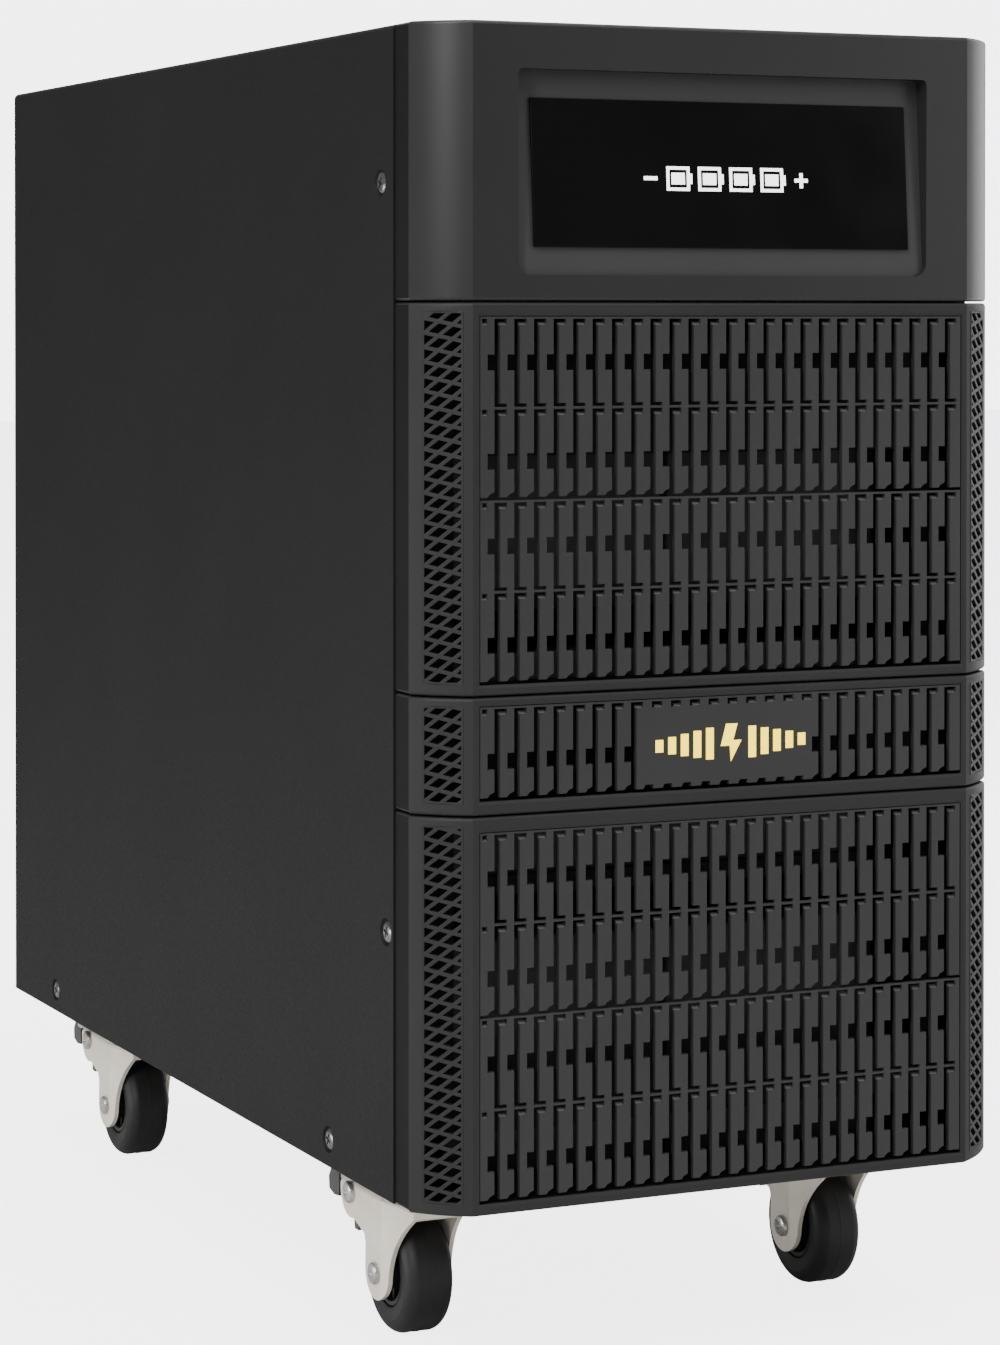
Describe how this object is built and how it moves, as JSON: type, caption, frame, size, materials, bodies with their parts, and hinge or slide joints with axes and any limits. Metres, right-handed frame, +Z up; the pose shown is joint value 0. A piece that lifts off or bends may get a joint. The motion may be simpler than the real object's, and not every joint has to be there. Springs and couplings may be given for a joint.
{
  "type": "tower battery cabinet",
  "caption": "Tower battery cabinet on swivel casters: steel cover, black front mouldings with a tilted window and slotted grilles, rear breaker and battery connectors.",
  "frame": {"origin": "centre of the footprint on the floor, under the wheels", "axes": "+Z up, -Y out of the front grille, +X to the right of a person facing the front; the wheels trail towards +Y"},
  "size_m": [0.26, 0.53, 0.53],
  "materials": {
    "powder_coat": "fine-textured satin powder coat",
    "bezel_plastic": "fine-textured satin black moulding",
    "window_gloss": "high gloss",
    "bright_steel": "bright zinc plate",
    "tyre_rubber": "smooth satin tread",
    "hub_plastic": "moulded, satin",
    "battery_case": "moulded, satin",
    "breaker_case": "moulded, satin",
    "lever_plastic": "moulded, satin",
    "connector_plastic": "moulded, satin",
    "brass": "bright",
    "lead_red": "smooth insulation",
    "lead_black": "smooth insulation"
  },
  "bodies": {
    "cabinet": {"top_bezel": "bezel_plastic", "window_panel": "window_gloss", "upper_grille": "bezel_plastic", "badge_strip": "bezel_plastic", "lower_grille": "bezel_plastic", "cover": "powder_coat", "base_tray": "powder_coat", "front_frame": "powder_coat", "rear_panel": "powder_coat", "shelf_1": "powder_coat", "shelf_2": "powder_coat", "shelf_3": "powder_coat", "battery_block_01": "battery_case", "battery_block_02": "battery_case", "battery_block_03": "battery_case", "battery_block_04": "battery_case", "battery_block_05": "battery_case", "battery_block_06": "battery_case", "battery_block_07": "battery_case", "battery_block_08": "battery_case", "battery_block_09": "battery_case", "battery_block_10": "battery_case", "battery_block_11": "battery_case", "battery_block_12": "battery_case", "battery_block_13": "battery_case", "battery_block_14": "battery_case", "battery_block_15": "battery_case", "battery_block_16": "battery_case", "battery_retainer": "bright_steel", "positive_lead": "lead_red", "negative_lead": "lead_black", "breaker_body": "breaker_case", "dc_connector_1": "connector_plastic", "dc_connector_2": "connector_plastic", "ground_stud": "brass", "caster_front_left_plate": "bright_steel", "caster_front_right_plate": "bright_steel", "caster_rear_left_plate": "bright_steel", "caster_rear_right_plate": "bright_steel"},
    "swivel_front_left": {"caster_front_left_fork": "bright_steel", "caster_front_left_axle": "bright_steel"},
    "wheel_front_left": {"caster_front_left_tyre": "tyre_rubber", "caster_front_left_hub": "hub_plastic"},
    "brake_front_left": {"caster_front_left_pedal": "hub_plastic"},
    "swivel_front_right": {"caster_front_right_fork": "bright_steel", "caster_front_right_axle": "bright_steel"},
    "wheel_front_right": {"caster_front_right_tyre": "tyre_rubber", "caster_front_right_hub": "hub_plastic"},
    "brake_front_right": {"caster_front_right_pedal": "hub_plastic"},
    "swivel_rear_left": {"caster_rear_left_fork": "bright_steel", "caster_rear_left_axle": "bright_steel"},
    "wheel_rear_left": {"caster_rear_left_tyre": "tyre_rubber", "caster_rear_left_hub": "hub_plastic"},
    "brake_rear_left": {"caster_rear_left_pedal": "hub_plastic"},
    "swivel_rear_right": {"caster_rear_right_fork": "bright_steel", "caster_rear_right_axle": "bright_steel"},
    "wheel_rear_right": {"caster_rear_right_tyre": "tyre_rubber", "caster_rear_right_hub": "hub_plastic"},
    "brake_rear_right": {"caster_rear_right_pedal": "hub_plastic"},
    "breaker_toggle": {"breaker_lever": "lever_plastic"}
  },
  "joints": [
    {"name": "front_left_swivel", "type": "hinge", "parent": "cabinet", "child": "swivel_front_left", "pos_m": [-0.095, -0.182, 0.056], "axis": [0, 0, 1], "continuous": true},
    {"name": "front_left_wheel_spin", "type": "hinge", "parent": "swivel_front_left", "child": "wheel_front_left", "pos_m": [-0.095, -0.167, 0.025], "axis": [1, 0, 0], "continuous": true},
    {"name": "front_left_brake_press", "type": "hinge", "parent": "swivel_front_left", "child": "brake_front_left", "pos_m": [-0.095, -0.14, 0.0523], "axis": [1, 0, 0], "range_deg": [-8, 0]},
    {"name": "front_right_swivel", "type": "hinge", "parent": "cabinet", "child": "swivel_front_right", "pos_m": [0.095, -0.182, 0.056], "axis": [0, 0, 1], "continuous": true},
    {"name": "front_right_wheel_spin", "type": "hinge", "parent": "swivel_front_right", "child": "wheel_front_right", "pos_m": [0.095, -0.167, 0.025], "axis": [1, 0, 0], "continuous": true},
    {"name": "front_right_brake_press", "type": "hinge", "parent": "swivel_front_right", "child": "brake_front_right", "pos_m": [0.095, -0.14, 0.0523], "axis": [1, 0, 0], "range_deg": [-8, 0]},
    {"name": "rear_left_swivel", "type": "hinge", "parent": "cabinet", "child": "swivel_rear_left", "pos_m": [-0.095, 0.164, 0.056], "axis": [0, 0, 1], "continuous": true},
    {"name": "rear_left_wheel_spin", "type": "hinge", "parent": "swivel_rear_left", "child": "wheel_rear_left", "pos_m": [-0.095, 0.179, 0.025], "axis": [1, 0, 0], "continuous": true},
    {"name": "rear_left_brake_press", "type": "hinge", "parent": "swivel_rear_left", "child": "brake_rear_left", "pos_m": [-0.095, 0.206, 0.0523], "axis": [1, 0, 0], "range_deg": [-8, 0]},
    {"name": "rear_right_swivel", "type": "hinge", "parent": "cabinet", "child": "swivel_rear_right", "pos_m": [0.095, 0.164, 0.056], "axis": [0, 0, 1], "continuous": true},
    {"name": "rear_right_wheel_spin", "type": "hinge", "parent": "swivel_rear_right", "child": "wheel_rear_right", "pos_m": [0.095, 0.179, 0.025], "axis": [1, 0, 0], "continuous": true},
    {"name": "rear_right_brake_press", "type": "hinge", "parent": "swivel_rear_right", "child": "brake_rear_right", "pos_m": [0.095, 0.206, 0.0523], "axis": [1, 0, 0], "range_deg": [-8, 0]},
    {"name": "breaker_toggle_flip", "type": "hinge", "parent": "cabinet", "child": "breaker_toggle", "pos_m": [-0.062, 0.244, 0.17], "axis": [1, 0, 0], "range_deg": [0, 70]}
  ]
}
